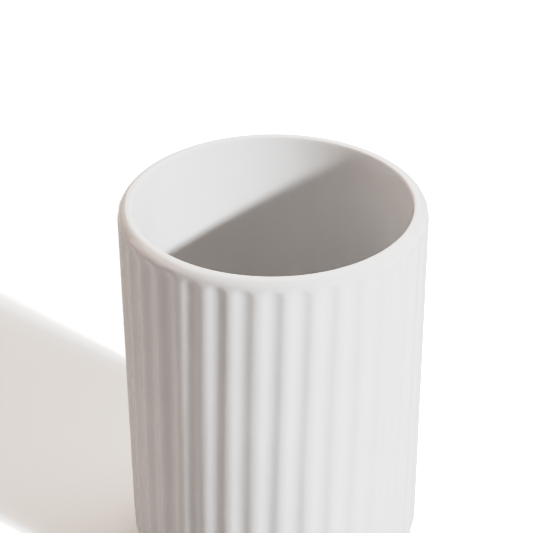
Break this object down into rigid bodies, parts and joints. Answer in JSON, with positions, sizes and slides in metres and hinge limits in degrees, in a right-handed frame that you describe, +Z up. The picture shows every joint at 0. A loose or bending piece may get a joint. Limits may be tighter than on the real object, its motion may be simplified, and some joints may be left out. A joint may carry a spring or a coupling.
{
  "type": "pen holder cup",
  "caption": "Round ceramic desk cup, open at the top, with shallow upright flutes, a rounded rim and heel, a bare foot ring and small non-slip pads.",
  "frame": {"origin": "on the desk, under the centre of the cup, on the plane of the pads' bottom faces", "axes": "+Z up along the cup's axis, out of its open top; the cup is round, so +X and +Y are any two directions at right angles, and the pads lie halfway between them"},
  "size_m": [0.08, 0.08, 0.112],
  "materials": {
    "stoneware": "bare fired clay, matte and slightly rough",
    "white_glaze": "opaque white glaze, smooth and glossy",
    "silicone": "pale grey silicone, satin",
    "adhesive": "double-sided acrylic adhesive film"
  },
  "bodies": {
    "root": {"ceramic_body": "stoneware", "glaze_coat": "white_glaze", "underside_glaze": "white_glaze", "pad_adhesive_1": "adhesive", "pad_adhesive_2": "adhesive", "pad_adhesive_3": "adhesive", "pad_adhesive_4": "adhesive", "non_slip_pad_1": "silicone", "non_slip_pad_2": "silicone", "non_slip_pad_3": "silicone", "non_slip_pad_4": "silicone"}
  },
  "joints": []
}
